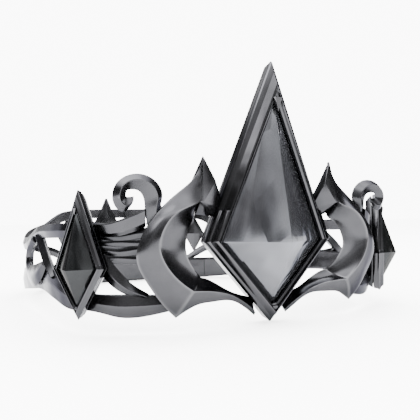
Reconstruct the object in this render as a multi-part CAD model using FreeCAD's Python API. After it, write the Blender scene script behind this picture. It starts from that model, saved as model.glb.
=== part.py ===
import FreeCAD
import Part
import math
import os
from FreeCAD import Vector

# A rigid metal crown: an open ring of bands and scrolls, a tall kite-shaped setting at the front,
# a smaller one on each front corner, and a pair of crescents beside the front setting.
# Millimetres. The origin is the middle of the head opening, on the plane the crown stands on.
# +Z is up, the front faces -Y, and "left" is the -X side as seen from the front.

# --- ring, measured at the middle of the band's thickness ---
ring_half_width = 79.5
ring_half_depth = 85.0
ring_squareness = 3.2      # 2 is an ellipse, a larger number is squarer
band_thickness = 3.2
strand_thickness = 2.6
corner_bulge = 4.0         # how far the bands swing out behind a corner setting

# --- settings: the frame's kite outline, then the gem's, then depths out from the rim ---
front_kite = {
    "half": 29.9, "bottom": 0.5, "corner": 33.6, "top": 106.9,
    "gem_half": 24.0, "gem_bottom": 7.3, "gem_top": 90.5, "gem_peak": 15.8,
    "depth": 6.0, "crest": 4.6, "cradle_wall": 0.3, "cradle_width": 3.0, "cradle_top": 46.0,
    "cradle_depth": 4.2,
}
side_kite = {
    "half": 10.5, "bottom": 6.3, "corner": 24.8, "top": 54.2,
    "gem_half": 8.3, "gem_bottom": 10.6, "gem_top": 47.0, "gem_peak": 8.4,
    "depth": 3.0, "crest": 2.0, "cradle_wall": 0.2, "cradle_width": 1.3, "cradle_top": 26.4,
    "cradle_depth": 1.6,
}
plate_thickness = 0.42     # back plate, as a share of the frame's depth
front_stand_off = 0.9      # the rim, out from the ring's middle line at the front
front_lean = 2.4           # the front setting leans out at the top, in degrees
side_angle = 46.6          # corner setting, from the front round the ring
side_stand_off = 6.3       # its rim, out from the bands that pass behind it
pad_thickness = 3.0        # mounting pad behind a corner setting's plate
pad_near_inset = 0.15      # its near and far outlines, as a share of the way from rim to gem
pad_far_inset = 0.5

# --- crescents ---
crescent_front = 4.1           # ridge, out from the rim plane
crescent_back = 4.0            # back ridge, in from the edges
crescent_lap = 17.4            # where the strands land, out from the cradle's corner
stem_lap = 20.4                # where the scroll's stem lands beside the scroll
rail_lap = 12.5                # where the rail lands, lower on the crescent
scroll_plane = -2.2            # middle of the scroll, out from the rim plane

# --- bands ---
foot_angle = 146.0         # the flat underside runs round the back between these angles
lower_band_height = 14.0
upper_band_height = 5.9
upper_band_top = 49.4
upper_step_angle = 139.5   # where the back's upper band meets the side's

# --- strands between a corner setting and a crescent ---
strand_count = 4
strand_height = 2.7
strand_gap = 0.35
strand_base = 27.2
strand_wave = 0.05     # each strand sways up and down by this much

# --- rivets ---
rivet_radius = 0.8
rivet_head_radius = 1.5
rivet_head_height = 0.9
rivet_reach = 4.6          # shank length beyond the band's inner face

# --- back ornaments ---
spike_angle = 167.5
spike_half = 9.0
spike_bottom = 38.6
spike_top = 57.7
diamond_angle = 150.5
diamond_half = 7.4
diamond_bottom = 20.0
diamond_top = 43.4
diamond_depth = 2.8        # each face, out from the ring's middle line

front_plane = -(ring_half_depth + front_stand_off)


def ring_reach(angle):
    s = abs(math.sin(math.radians(angle)) / ring_half_width)
    c = abs(math.cos(math.radians(angle)) / ring_half_depth)
    return (s ** ring_squareness + c ** ring_squareness) ** (-1.0 / ring_squareness)


# A point on the ring's plan curve, pushed outwards square to the curve. Angle 0 is the front.
def ring_point(angle, offset, height):
    reach = ring_reach(angle)
    x = reach * math.sin(math.radians(angle))
    y = -reach * math.cos(math.radians(angle))
    power = ring_squareness - 1.0
    slope_x = math.copysign(abs(x) ** power / ring_half_width ** ring_squareness, x)
    slope_y = math.copysign(abs(y) ** power / ring_half_depth ** ring_squareness, y)
    outward = Vector(slope_x, slope_y, 0).normalize()
    return Vector(x, y, height) + outward * offset


# The angle of the point of the front half of the ring that is this far to the side.
def ring_angle_at(x):
    rest = 1.0 - (x / ring_half_width) ** ring_squareness
    y = ring_half_depth * rest ** (1.0 / ring_squareness)
    return math.degrees(math.atan2(x, y))


# How far out a point at this angle has to stand to reach a plane square to Y.
def offset_to_plane(angle, plane):
    base = ring_point(angle, 0, 0)
    step = ring_point(angle, 1, 0)
    return (plane - base.y) / (step.y - base.y)


def facing_out(solid):
    if solid.Volume < 0:
        solid.reverse()
    return solid


# A solid with flat faces, from the corner points of each face.
def faceted(polygons):
    faces = [Part.Face(Part.makePolygon(list(points) + [points[0]])) for points in polygons]
    shell = Part.makeCompound(faces)
    shell.sewShape()
    return facing_out(Part.makeSolid(shell.Shells[0]))


# A solid that runs smoothly through a row of closed outlines.
def lofted(sections, ruled=False):
    wires = [Part.makePolygon(list(points) + [points[0]]) for points in sections]
    return facing_out(Part.makeLoft(wires, True, ruled))


def mirrored(solid):
    return facing_out(solid.mirror(Vector(0, 0, 0), Vector(1, 0, 0)))


def cut_by(solid, others):
    for other in others:
        if solid.BoundBox.intersect(other.BoundBox):
            solid = solid.cut(other)
    pieces = sorted(solid.Solids, key=lambda piece: piece.Volume)
    return pieces[-1]


# ---------- kite settings, made facing -Y with the rim at y = 0 ----------

# Bottom, right, top and left corners, part of the way from the frame's outline to the gem's.
def kite_between(kite, share, depth):
    half = kite["half"] + share * (kite["gem_half"] - kite["half"])
    bottom = kite["bottom"] + share * (kite["gem_bottom"] - kite["bottom"])
    top = kite["top"] + share * (kite["gem_top"] - kite["top"])
    return [Vector(0, -depth, bottom), Vector(half, -depth, kite["corner"]),
            Vector(0, -depth, top), Vector(-half, -depth, kite["corner"])]


# The frame's right-hand corner, moved outwards square to both its edges.
def kite_corner(kite, outset):
    drop = kite["corner"] - kite["bottom"]
    climb = kite["top"] - kite["corner"]
    low = math.hypot(kite["half"], drop)
    high = math.hypot(kite["half"], climb)
    down = Vector(drop / low, 0, -kite["half"] / low)
    up = Vector(climb / high, 0, kite["half"] / high)
    cross = down.x * up.z - down.z * up.x
    return (kite["half"] + outset * (up.z - down.z) / cross,
            kite["corner"] + outset * (down.x - up.x) / cross)


def kite_bottom(kite, outset):
    low = math.hypot(kite["half"], kite["corner"] - kite["bottom"])
    return kite["bottom"] - outset * low / kite["half"]


# Half the moved outline's width at a height above its corners.
def kite_edge(kite, outset, height):
    climb = kite["top"] - kite["corner"]
    top = kite["top"] + outset * math.hypot(kite["half"], climb) / kite["half"]
    return (top - height) * kite["half"] / climb


# Triangles between two kite outlines.
def kite_wall(first, second):
    faces = []
    for i in range(4):
        j = (i + 1) % 4
        faces.append([first[i], first[j], second[j]])
        faces.append([first[i], second[j], second[i]])
    return faces


def plate_face(kite):
    return -kite["depth"] * (1 - plate_thickness)


# A bezel that leans in towards its back, with a bevel up to a crest and a lip round the gem.
def setting_frame(kite):
    crest = kite["crest"]
    depth = kite["depth"]
    profile = [(0.1, -0.55 * depth), (0, -0.1 * depth), (0.08, 0.2 * crest), (0.55, crest), (0.7, crest),
               (0.78, 0.62 * crest), (1, 0.7 * crest), (1, -depth), (0.75, -depth)]
    rings = [kite_between(kite, share, out) for share, out in profile]
    faces = []
    for i in range(len(rings)):
        faces += kite_wall(rings[i], rings[(i + 1) % len(rings)])
    return faceted(faces)


# Four long facets meet at the gem's point; a short girdle stands inside the frame.
def setting_gem(kite):
    girdle = 0.5 * kite["crest"]
    rings = [kite_between(kite, 1.5, plate_face(kite)), kite_between(kite, 1.04, 0.5 * girdle),
             kite_between(kite, 1.04, girdle)]
    faces = [rings[0]]
    faces += kite_wall(rings[0], rings[1]) + kite_wall(rings[1], rings[2])
    peak = Vector(0, -kite["gem_peak"], kite["corner"])
    for i in range(4):
        faces.append([rings[2][i], rings[2][(i + 1) % 4], peak])
    return faceted(faces)


# Closes the frame from behind and carries the gem.
def setting_plate(kite):
    return lofted([kite_between(kite, 1, -kite["depth"]), kite_between(kite, 1, plate_face(kite))], ruled=True)


# A folded strip laid on the lower half of the frame's bevel, with its two arms cut level.
def setting_cradle(kite, frame):
    wall = kite["cradle_wall"]
    width = kite["cradle_width"]
    crest = kite["crest"]
    back = kite["cradle_depth"]
    profile = [(-0.5 * width, -back), (-0.2 * width, -back), (wall, 0), (wall, 0.1 * crest),
               (-0.14 * width, 0.38 * crest), (-0.4 * width, 0.5 * crest), (-0.74 * width, 1.02 * crest),
               (-width, 1.12 * crest), (-1.02 * width, 0.6 * crest)]
    left_end, left_corner, bottom, right_corner, right_end = [], [], [], [], []
    for outset, depth in profile:
        corner_x, corner_z = kite_corner(kite, outset)
        edge = kite_edge(kite, outset, kite["cradle_top"])
        left_end.append(Vector(-edge, -depth, kite["cradle_top"]))
        left_corner.append(Vector(-corner_x, -depth, corner_z))
        bottom.append(Vector(0, -depth, kite_bottom(kite, outset)))
        right_corner.append(Vector(corner_x, -depth, corner_z))
        right_end.append(Vector(edge, -depth, kite["cradle_top"]))
    strip = lofted([left_end, left_corner, bottom, right_corner, right_end], ruled=True)
    return cut_by(strip, [frame])


# A wedge holds the gem's top and a bead holds its bottom. Both grow from the frame's inner lip.
def setting_claws(kite, stops):
    size = 0.05 * (kite["top"] - kite["bottom"]) / 2.6
    lip = 0.6 * kite["crest"]
    root = kite["gem_top"] + 0.35 * size
    left = Vector(-1.2 * size, -lip, root)
    right = Vector(1.2 * size, -lip, root)
    front_left = Vector(-0.8 * size, -lip - 1.4 * size, root)
    front_right = Vector(0.8 * size, -lip - 1.4 * size, root)
    tip = Vector(0, -lip - 1.2 * size, root - 2.8 * size)
    wedge = faceted([[left, right, front_right], [left, front_right, front_left], [left, front_left, tip],
                     [front_right, right, tip], [front_left, front_right, tip], [right, left, tip]])
    bead = Part.makeSphere(0.9 * size, Vector(0, -lip - 0.3 * size, kite["gem_bottom"] - 0.1 * size))
    return Part.makeCompound([cut_by(wedge, stops), cut_by(bead, stops)])


def make_setting(kite):
    frame = setting_frame(kite)
    gem = setting_gem(kite)
    cradle = setting_cradle(kite, frame)
    return {"frame": frame, "gem": gem, "back_plate": setting_plate(kite), "cradle": cradle,
            "claws": setting_claws(kite, [gem, frame, cradle])}


def place_front(solid):
    moved = solid.translated(Vector(0, front_plane, 0))
    moved.rotate(Vector(0, front_plane, front_kite["corner"]), Vector(1, 0, 0), front_lean)
    return moved


def side_rim_distance():
    return ring_reach(side_angle) + corner_bulge + side_stand_off


def place_side(solid):
    moved = solid.translated(Vector(0, -side_rim_distance(), 0))
    moved.rotate(Vector(0, 0, 0), Vector(0, 0, 1), side_angle)
    return moved


# A block behind a corner setting's plate that the bands are riveted to.
def side_pad():
    kite = side_kite
    near = kite_between(kite, pad_near_inset, -kite["depth"])
    far = kite_between(kite, pad_far_inset, -kite["depth"] - pad_thickness)
    return place_side(lofted([far, near], ruled=True))


# ---------- bands ----------

# Each station is angle, bottom, top and how far out the band's middle stands.
# The outer face is folded along its middle by the swell.
def band(stations, thickness, swell):
    sections = []
    for angle, bottom, top, offset in stations:
        inner = offset - thickness / 2
        outer = offset + thickness / 2
        edge = outer - swell
        sections.append([ring_point(angle, inner, bottom), ring_point(angle, edge, bottom),
                         ring_point(angle, outer, (bottom + top) / 2), ring_point(angle, edge, top),
                         ring_point(angle, inner, top)])
    return lofted(sections)


# A strut that runs across the bands. Each station is angle, height, half its width and offset;
# its width is laid square to the way it runs.
def strut(stations, thickness):
    sections = []
    last = len(stations) - 1
    for i, (angle, height, half, offset) in enumerate(stations):
        before = stations[max(i - 1, 0)]
        after = stations[min(i + 1, last)]
        middle = ring_point(angle, offset, height)
        outward = (ring_point(angle, 1, 0) - ring_point(angle, 0, 0)).normalize()
        sideways = Vector(-outward.y, outward.x, 0)
        way = ring_point(after[0], 0, after[1]) - ring_point(before[0], 0, before[1])
        run = sideways * way.dot(sideways) + Vector(0, 0, way.z)
        across = run.cross(outward).normalize() * half
        depth = outward * (thickness / 2)
        sections.append([middle - across, middle - depth, middle + across, middle + depth])
    return lofted(sections)


def back_lower_band():
    full = 360.0 - foot_angle
    angles = [foot_angle + (full - foot_angle) * i / 8 for i in range(9)]
    tall = band([(angle, -1.0, lower_band_height, 0) for angle in angles], band_thickness, 0.8)
    below = Part.makeBox(400, 400, 2, Vector(-200, -200, -2))
    return tall.cut(below)


def side_lower_band():
    bulge = corner_bulge
    near = side_angle
    stations = [(near, 8.4, 15.0, bulge), (near + 5.4, 8.2, 17.6, 0.85 * bulge),
                (near + 11.4, 10.0, 21.2, 0.5 * bulge), (near + 17.4, 11.4, 23.2, 0.25 * bulge),
                (near + 25.4, 12.2, 23.2, 0), (near + 35.4, 11.4, 21.9, 0), (93, 9.7, 20.2, 0),
                (108, 6.9, 18.0, 0), (124, 3.7, 15.9, 0), (136, 1.4, 14.6, 0),
                (foot_angle, 0, lower_band_height, 0)]
    return band(stations, band_thickness, 0.8)


def front_rail():
    end = ring_angle_at(front_corner_x() + rail_lap)
    start = side_angle
    lap = offset_to_plane(end, front_plane + 2.4)
    span = start - end
    stations = [(end, 8.3, 14.0, lap), (end + 0.2 * span, 7.0, 14.4, 0.6 * lap + 0.8),
                (end + 0.42 * span, 6.0, 14.6, 2.4), (end + 0.62 * span, 6.3, 14.6, 3.0),
                (end + 0.82 * span, 7.8, 14.6, 3.7), (start, 8.4, 15.0, corner_bulge)]
    return band(stations, band_thickness, 0.9)


def side_upper_band():
    h = upper_band_height
    bulge = corner_bulge
    near = side_angle
    stations = [(near, 41.6 - h, 41.6, bulge), (near + 5.4, 41.7 - h, 41.7, 0.85 * bulge),
                (near + 11.4, 41.6 - h, 41.6, 0.5 * bulge), (near + 19.4, 41.2 - h, 41.2, 0.2 * bulge),
                (near + 30.4, 40.4 - h, 40.4, 0), (89, 37.2 - h, 37.2, 0), (102, 33.8 - h, 33.8, 0),
                (114, 33.8 - h, 33.8, 0),
                (126, 36.4 - h, 36.4, 0), (134, 38.7 - h, 38.7, 0), (upper_step_angle, 40.4 - h, 40.4, 0)]
    return band(stations, band_thickness, 0.7)


def back_upper_band():
    h = upper_band_height
    t = upper_band_top
    rise = [(upper_step_angle, 40.4), (144.3, t - 4.8), (149, t - 1.6), (157, t - 0.2), (168, t), (180, t)]
    stations = [(angle, top - h, top, 0) for angle, top in rise]
    stations += [(360 - angle, top - h, top, 0) for angle, top in reversed(rise[:-1])]
    return band(stations, band_thickness, 0.7)


def front_corner_x():
    return kite_corner(front_kite, front_kite["cradle_wall"])[0]


def crescent_angle():
    return ring_angle_at(front_corner_x() + crescent_lap)


# Four wavy strands, one above another, from behind the corner setting to the crescent's back.
def strand(number):
    end = crescent_angle()
    span = side_angle - end
    lap = offset_to_plane(end, front_plane + 2.4)
    pitch = strand_height + strand_gap
    base = strand_base + strand_height / 2 + number * pitch
    wave = strand_wave if number % 2 else -strand_wave
    narrow = 1 - 0.1 * number / strand_count
    path = [(0, 0.2, lap), (0.25, wave, 0.5 * lap + 1.2), (0.5, -wave, 2.6), (0.75, wave, 3.4),
            (1, 0, corner_bulge)]
    stations = []
    for share, lift, offset in path:
        height = base * (1 - share) + (strand_base + 2 + (base - strand_base - 2) * narrow) * share + lift
        angle = end + share * span
        half = (1 - 0.07 * share) * strand_height / 2
        stations.append((angle, height - half, height + half, offset))
    return band(stations, strand_thickness, 0.9)


# ---------- crescents ----------

# Each station is the outer edge, the front ridge and the inner edge as (x, z, depth),
# x from the cradle's corner and depth out from the rim plane. A back ridge closes the section.
def edge_point(spot):
    x, z, depth = spot
    return Vector(front_corner_x() + x, front_plane - depth, z)


def roof_section(outer, ridge, inner, back):
    o = edge_point(outer)
    r = edge_point(ridge)
    i = edge_point(inner)
    along = (i - o).normalize()
    foot = o + along * (r - o).dot(along)
    inward = (foot - r).normalize()
    middle = (o + i) * 0.5
    return [o, r, i, middle + inward * back]


def crescent():
    y = crescent_front
    stations = [((0.6, 66.7, 1.2), (0.3, 66.2, 1.5), (0.1, 66.4, 0.2), 0.4),
                ((4.2, 58.6, 0.7), (2.2, 56.9, 0.6 * y), (2.0, 56.4, -1.8), 1.6),
                ((12.5, 51.6, 0), (3.4, 49.4, y - 0.2), (2.2, 44.6, -3.6), 2.6),
                ((20.4, 44.2, 0), (11.4, 46.2, y), (5.1, 40.6, -1.4), crescent_back),
                ((25.3, 36.9, 0), (17.9, 40.0, y), (7.4, 35.7, 0), crescent_back),
                ((27.4, 28.2, 0), (19.7, 32.5, y - 0.2), (7.9, 30.6, 0.6), crescent_back),
                ((23.4, 19.4, 0), (16.8, 25.2, y), (6.0, 26.0, 0), crescent_back),
                ((17.5, 11.2, 0), (11.7, 19.6, y), (3.1, 22.5, -1.0), crescent_back)]
    return lofted([roof_section(*spots) for spots in stations] + [mitre_section()], ruled=True)


def mitre_section():
    return roof_section((12.0, 5.7, -0.6), (6.6, 15.9, crescent_front + 0.2), (0.3, 19.9, -2.4), 3.4)


def crescent_arm():
    y = crescent_front
    stations = [((4.2, 10.0, 1.2), (1.0, 15.4, y - 0.8), (-3.2, 18.9, -2.8), 3.0),
                ((-3.2, 10.8, 1.5), (-5.8, 14.3, y - 1.8), (-8.6, 16.0, -3.2), 2.6),
                ((-11.4, 10.4, 1.0), (-12.7, 11.9, 1.9), (-14.6, 12.9, -3.0), 2.0),
                ((-18.9, 6.2, 0.2), (-19.6, 7.6, 0.8), (-21.0, 10.8, -2.8), 1.6),
                ((-22.6, 3.4, -0.8), (-23.0, 4.6, -0.4), (-23.8, 9.0, -3.2), 1.2)]
    return lofted([mitre_section()] + [roof_section(*spots) for spots in stations], ruled=True)


# A flat blade from the crescent's upper mitre to the frame's edge.
def crescent_horn():
    low_z = 43.4
    high_z = 49.6
    low_x = kite_edge(front_kite, 0, low_z) - front_corner_x() - 0.6
    high_x = kite_edge(front_kite, 0, high_z) - front_corner_x() - 0.6
    tip = edge_point((0.2, 66.2, 1.4))
    ridge = edge_point((3.3, 49.3, crescent_front - 0.4))
    inner = edge_point((2.0, 44.4, -3.4))
    front_low = edge_point((low_x, low_z, -0.1))
    front_high = edge_point((high_x, high_z, 1.0))
    back_tip = edge_point((0.0, 65.4, 0.0))
    back_ridge = edge_point((2.6, 49.3, -3.6))
    back_low = edge_point((low_x, low_z, -3.8))
    back_high = edge_point((high_x, high_z, -3.2))
    return faceted([[tip, ridge, front_high], [ridge, inner, front_low], [ridge, front_low, front_high],
                    [back_tip, back_high, back_ridge], [back_ridge, back_low, inner],
                    [back_ridge, back_high, back_low], [tip, back_tip, back_ridge],
                    [tip, back_ridge, ridge], [ridge, back_ridge, inner],
                    [inner, back_low, front_low], [front_low, back_low, back_high],
                    [front_low, back_high, front_high], [front_high, back_high, back_tip],
                    [front_high, back_tip, tip]])


# ---------- scrolls ----------

# The curl is a ribbon with a folded front and back; each station is its outer and inner edge.
def scroll():
    stations = [((15.6, 40.2), (22.0, 38.6), 1.2), ((17.2, 46.0), (23.2, 45.4), 2.4),
                ((16.1, 51.6), (23.5, 49.6), 3.0), ((18.2, 56.6), (24.7, 52.5), 3.0),
                ((23.4, 59.5), (26.8, 53.7), 2.8), ((29.4, 59.2), (29.3, 53.7), 2.6),
                ((34.0, 56.1), (30.6, 52.7), 2.4), ((35.6, 51.6), (31.2, 51.4), 2.2),
                ((34.3, 47.8), (30.9, 50.4), 2.0), ((31.0, 46.8), (30.0, 50.6), 1.8),
                ((28.6, 49.9), (28.3, 51.2), 0.8)]
    sections = []
    for outer, inner, half_depth in stations:
        o = edge_point((outer[0], outer[1], scroll_plane))
        i = edge_point((inner[0], inner[1], scroll_plane))
        middle = (o + i) * 0.5
        sections.append([o, middle + Vector(0, -half_depth, 0), i, middle + Vector(0, half_depth, 0)])
    return lofted(sections)


def scroll_stem():
    foot_angle_at = ring_angle_at(front_corner_x() + stem_lap)
    landing = offset_to_plane(foot_angle_at, front_plane - scroll_plane)
    span = side_angle - foot_angle_at
    stations = [(foot_angle_at, 41.0, 46.6, landing), (foot_angle_at + 0.2 * span, 38.6, 44.4, landing),
                (foot_angle_at + 0.5 * span, 37.3, 41.3, 0.5 * landing + 2.2),
                (foot_angle_at + 0.75 * span, 38.2, 41.0, 4.6),
                (side_angle - 2.0, 39.6, 41.8, corner_bulge + 2.2)]
    return band(stations, strand_thickness - 0.4, 0.6)


# ---------- side ornaments ----------

# A C-shaped curl below the upper band, ending in a thick drop.
def side_scroll():
    stations = [(84.0, 34.2, 2.2, 0.9), (90.6, 29.4, 2.7, 1.4), (92.4, 23.0, 3.3, 1.8), (87.6, 18.2, 4.4, 2.2),
                (79.6, 17.6, 5.0, 2.5), (72.0, 20.2, 4.2, 2.4), (66.6, 24.4, 1.8, 2.0)]
    return strut(stations, 4.6)


def side_leaf():
    stations = [(78.0, 36.2, 1.8, 0.1), (72.4, 31.6, 2.9, 0.6), (66.2, 25.6, 2.9, 1.4), (60.0, 19.4, 1.5, 2.0)]
    return strut(stations, 2.8)


def s_brace():
    stations = [(42.9, 29.4, 2.4, 3.7), (41.6, 24.6, 2.6, 3.4), (39.4, 20.2, 2.6, 3.2),
                (36.8, 16.6, 2.1, 2.8), (33.6, 13.9, 1.4, 2.4)]
    return strut(stations, 2.8)


def short_brace():
    stations = [(34.8, 28.6, 1.3, 2.4), (33.6, 24.6, 1.4, 2.8), (32.2, 20.2, 1.4, 3.2), (30.2, 14.0, 1.3, 2.6)]
    return strut(stations, 2.4)


def back_brace():
    stations = [(157.0, 11.6, 1.6, 0), (152.0, 15.2, 2.2, 0), (146.0, 20.9, 2.6, 0), (138.0, 24.8, 2.6, 0),
                (128.0, 27.8, 2.2, 0), (119.0, 30.6, 1.5, 0)]
    return strut(stations, 2.9)


# ---------- back ornaments ----------

# A three-sided point on the inner face of the upper band.
def back_spike():
    reach = ring_reach(spike_angle)
    turn = math.degrees(spike_half / reach)
    face = -band_thickness / 2
    left = ring_point(spike_angle - turn, face - 0.4, spike_bottom)
    right = ring_point(spike_angle + turn, face - 0.4, spike_bottom)
    front = ring_point(spike_angle, face - 3.4, spike_bottom + 0.4)
    back_left = ring_point(spike_angle - turn, face + 1.2, spike_bottom)
    back_right = ring_point(spike_angle + turn, face + 1.2, spike_bottom)
    tip = ring_point(spike_angle, face - 0.9, spike_top)
    back_tip = ring_point(spike_angle, face + 0.7, spike_top - 0.6)
    return faceted([[left, front, tip], [front, right, tip], [left, tip, back_tip], [left, back_tip, back_left],
                    [right, back_tip, tip], [right, back_right, back_tip],
                    [back_left, back_tip, back_right], [left, back_left, front],
                    [front, back_left, back_right], [front, back_right, right]])


# A diamond with raised faces that hangs between the upper band and the brace.
def back_diamond():
    turn = math.degrees(diamond_half / ring_reach(diamond_angle))
    waist = (diamond_bottom + diamond_top) / 2
    rim = [ring_point(diamond_angle, 0, diamond_bottom), ring_point(diamond_angle + turn, 0, waist),
           ring_point(diamond_angle, 0, diamond_top), ring_point(diamond_angle - turn, 0, waist)]
    outer = ring_point(diamond_angle, diamond_depth, waist)
    inner = ring_point(diamond_angle, -diamond_depth, waist)
    faces = []
    for i in range(4):
        j = (i + 1) % 4
        faces.append([rim[i], rim[j], outer])
        faces.append([rim[j], rim[i], inner])
    return faceted(faces)


# ---------- rivets ----------

# A round-headed pin whose head sits on a band's inner face and whose shank points outwards.
def rivet(angle, height, offset):
    inner = ring_point(angle, offset - band_thickness / 2, height)
    outward = (ring_point(angle, 1, height) - ring_point(angle, 0, height)).normalize()
    shank = Part.makeCylinder(rivet_radius, rivet_reach, inner, outward)
    ball = Part.makeSphere(rivet_head_radius, inner)
    head_foot = inner - outward * rivet_head_height
    keep = Part.makeCylinder(rivet_head_radius + 1, rivet_head_height, head_foot, outward)
    return shank.fuse(ball.common(keep)).removeSplitter()


def ring_rivets():
    places = [(side_angle - 1.6, 12.8, corner_bulge), (side_angle + 1.6, 12.8, corner_bulge),
              (side_angle + 1.6, 38.8, corner_bulge)]
    return [rivet(*place) for place in places]


# ---------- the whole crown ----------

def make_nodes():
    nodes = {}
    for name, solid in make_setting(front_kite).items():
        nodes["front_" + name] = place_front(solid)
    front_stops = [nodes["front_frame"], nodes["front_cradle"]]

    right = {"side_" + name: place_side(solid) for name, solid in make_setting(side_kite).items()}
    right["crescent"] = crescent()
    right["crescent_arm"] = cut_by(crescent_arm(), front_stops + [right["crescent"]])
    right["crescent_horn"] = cut_by(crescent_horn(), front_stops + [right["crescent"]])
    landings = [right["crescent"], right["crescent_arm"], right["crescent_horn"]]
    right["front_rail"] = cut_by(front_rail(), landings)
    strands = []
    for number in range(strand_count):
        strands.append(cut_by(strand(number), landings))
        right["strand_%d" % (number + 1)] = strands[-1]
    right["side_lower_band"] = side_lower_band()
    right["side_upper_band"] = side_upper_band()
    bands = strands + [right["front_rail"], right["side_lower_band"], right["side_upper_band"]]
    right["side_pad"] = cut_by(side_pad(), bands)
    right["scroll"] = cut_by(scroll(), landings + strands)
    right["scroll_stem"] = cut_by(scroll_stem(), landings + bands + [right["scroll"], right["side_pad"]])
    right["side_scroll"] = cut_by(side_scroll(), bands)
    right["side_leaf"] = cut_by(side_leaf(), bands + [right["side_scroll"]])
    right["s_brace"] = cut_by(s_brace(), bands + landings + [right["side_pad"]])
    right["short_brace"] = cut_by(short_brace(), bands + landings + [right["s_brace"]])

    nodes["back_lower_band"] = back_lower_band()
    nodes["back_upper_band"] = back_upper_band()
    back_bands = bands + [nodes["back_lower_band"], nodes["back_upper_band"]]
    right["back_brace"] = cut_by(back_brace(), back_bands)
    right["back_diamond"] = cut_by(back_diamond(), back_bands + [right["back_brace"]])
    right["back_spike"] = cut_by(back_spike(), back_bands)

    pins = ring_rivets()
    drilled = ["side_pad", "front_rail", "side_lower_band", "side_upper_band"]
    for name in drilled:
        right[name] = cut_by(right[name], pins)
    nodes["ring_rivets"] = Part.makeCompound(pins + [mirrored(pin) for pin in pins])
    for name, solid in right.items():
        nodes["right_" + name] = solid
        nodes["left_" + name] = mirrored(solid)
    return nodes


def save(nodes):
    os.makedirs("parts", exist_ok=True)
    for name in sorted(nodes):
        solid = nodes[name]
        print(name, round(solid.Volume, 1), "valid", solid.isValid(), "solids", len(solid.Solids))
        solid.exportStep("parts/" + name + ".step")


save(make_nodes())
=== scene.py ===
import bpy, bmesh, math
from mathutils import Matrix, Vector


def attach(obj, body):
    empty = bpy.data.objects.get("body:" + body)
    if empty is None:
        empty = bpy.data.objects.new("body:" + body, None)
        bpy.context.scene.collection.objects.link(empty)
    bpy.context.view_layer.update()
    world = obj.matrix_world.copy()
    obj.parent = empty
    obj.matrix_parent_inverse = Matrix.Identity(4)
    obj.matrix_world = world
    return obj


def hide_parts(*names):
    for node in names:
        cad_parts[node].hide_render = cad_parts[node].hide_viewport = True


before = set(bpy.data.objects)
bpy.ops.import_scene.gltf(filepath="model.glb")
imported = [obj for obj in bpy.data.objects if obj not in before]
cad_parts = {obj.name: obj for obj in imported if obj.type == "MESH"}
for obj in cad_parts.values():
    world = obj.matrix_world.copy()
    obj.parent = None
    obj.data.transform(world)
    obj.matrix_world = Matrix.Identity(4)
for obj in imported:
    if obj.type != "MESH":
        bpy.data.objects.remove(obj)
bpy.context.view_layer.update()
print("frame loaded:", len(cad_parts), "pieces")

mm = 0.001            # the crown's own sizes are in millimetres, Blender's are in metres
sameSpot = 0.000001   # corners nearer than this, in metres, are the same corner
handlePasses = 24     # enough for a row of handles to settle


# The ring's plan curve, in millimetres, angle 0 at the front.

ring = {"halfWidth": 79.5, "halfDepth": 85.0, "squareness": 3.2, "standOff": 0.9, "bulge": 4.0,
        "sideAngle": 46.6, "sideStandOff": 6.3}
frontPlane = -(ring["halfDepth"] + ring["standOff"])


def ringReach(angle):
    s = abs(math.sin(math.radians(angle)) / ring["halfWidth"])
    c = abs(math.cos(math.radians(angle)) / ring["halfDepth"])
    return (s ** ring["squareness"] + c ** ring["squareness"]) ** (-1 / ring["squareness"])


def ringOutward(angle):
    x = ringReach(angle) * math.sin(math.radians(angle))
    y = -ringReach(angle) * math.cos(math.radians(angle))
    power = ring["squareness"] - 1
    slopeX = math.copysign(abs(x) ** power / ring["halfWidth"] ** ring["squareness"], x)
    slopeY = math.copysign(abs(y) ** power / ring["halfDepth"] ** ring["squareness"], y)
    return Vector((slopeX, slopeY, 0)).normalized()


def ringPoint(angle, offset, height):
    x = ringReach(angle) * math.sin(math.radians(angle))
    y = -ringReach(angle) * math.cos(math.radians(angle))
    return Vector((x, y, height)) + ringOutward(angle) * offset


def ringAngleAt(x):
    rest = 1 - (x / ring["halfWidth"]) ** ring["squareness"]
    return math.degrees(math.atan2(x, ring["halfDepth"] * rest ** (1 / ring["squareness"])))


def offsetToPlane(angle, plane):
    base = ringPoint(angle, 0, 0)
    return (plane - base.y) / ringOutward(angle).y


# Small modelling helpers.

def startPiece(corners):  # a flat outline to draw the piece out of; corners in millimetres
    bpy.ops.object.select_all(action="DESELECT")
    bpy.context.tool_settings.mesh_select_mode = (True, False, False)
    bpy.ops.mesh.primitive_circle_add(vertices=len(corners), radius=2 * mm, fill_type="NGON",
                                      location=(0, 0, 0))
    bpy.ops.object.mode_set(mode="EDIT")
    moveCorners(corners)


def liveMesh():
    mesh = bmesh.from_edit_mesh(bpy.context.object.data)
    mesh.verts.ensure_lookup_table()
    mesh.edges.ensure_lookup_table()
    mesh.faces.ensure_lookup_table()
    return mesh


# Moves each corner of the selected outline to its place, one at a time.
def moveCorners(corners, came=None):
    mesh = liveMesh()
    ends = [v for v in mesh.verts if v.select]
    ends.sort(key=lambda v: v.index)
    if came is not None:
        ends = [min(ends, key=lambda v: (v.co - old * mm).length) for old in came]
    numbers = [v.index for v in ends]
    for number, corner in zip(numbers, corners):
        mesh = liveMesh()
        for v in mesh.verts:
            v.select_set(False)
        mesh.verts[number].select_set(True)
        mesh.select_flush(True)
        step = corner * mm - mesh.verts[number].co
        bpy.ops.transform.translate(value=step)
    mesh = liveMesh()
    for v in mesh.verts:
        v.select_set(v.index in numbers)
    mesh.select_flush(True)


def drawTo(came, corners):  # extrudes the end outline and moves it to its next place
    bpy.ops.mesh.extrude_region_move()
    moveCorners(corners, came)


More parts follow.
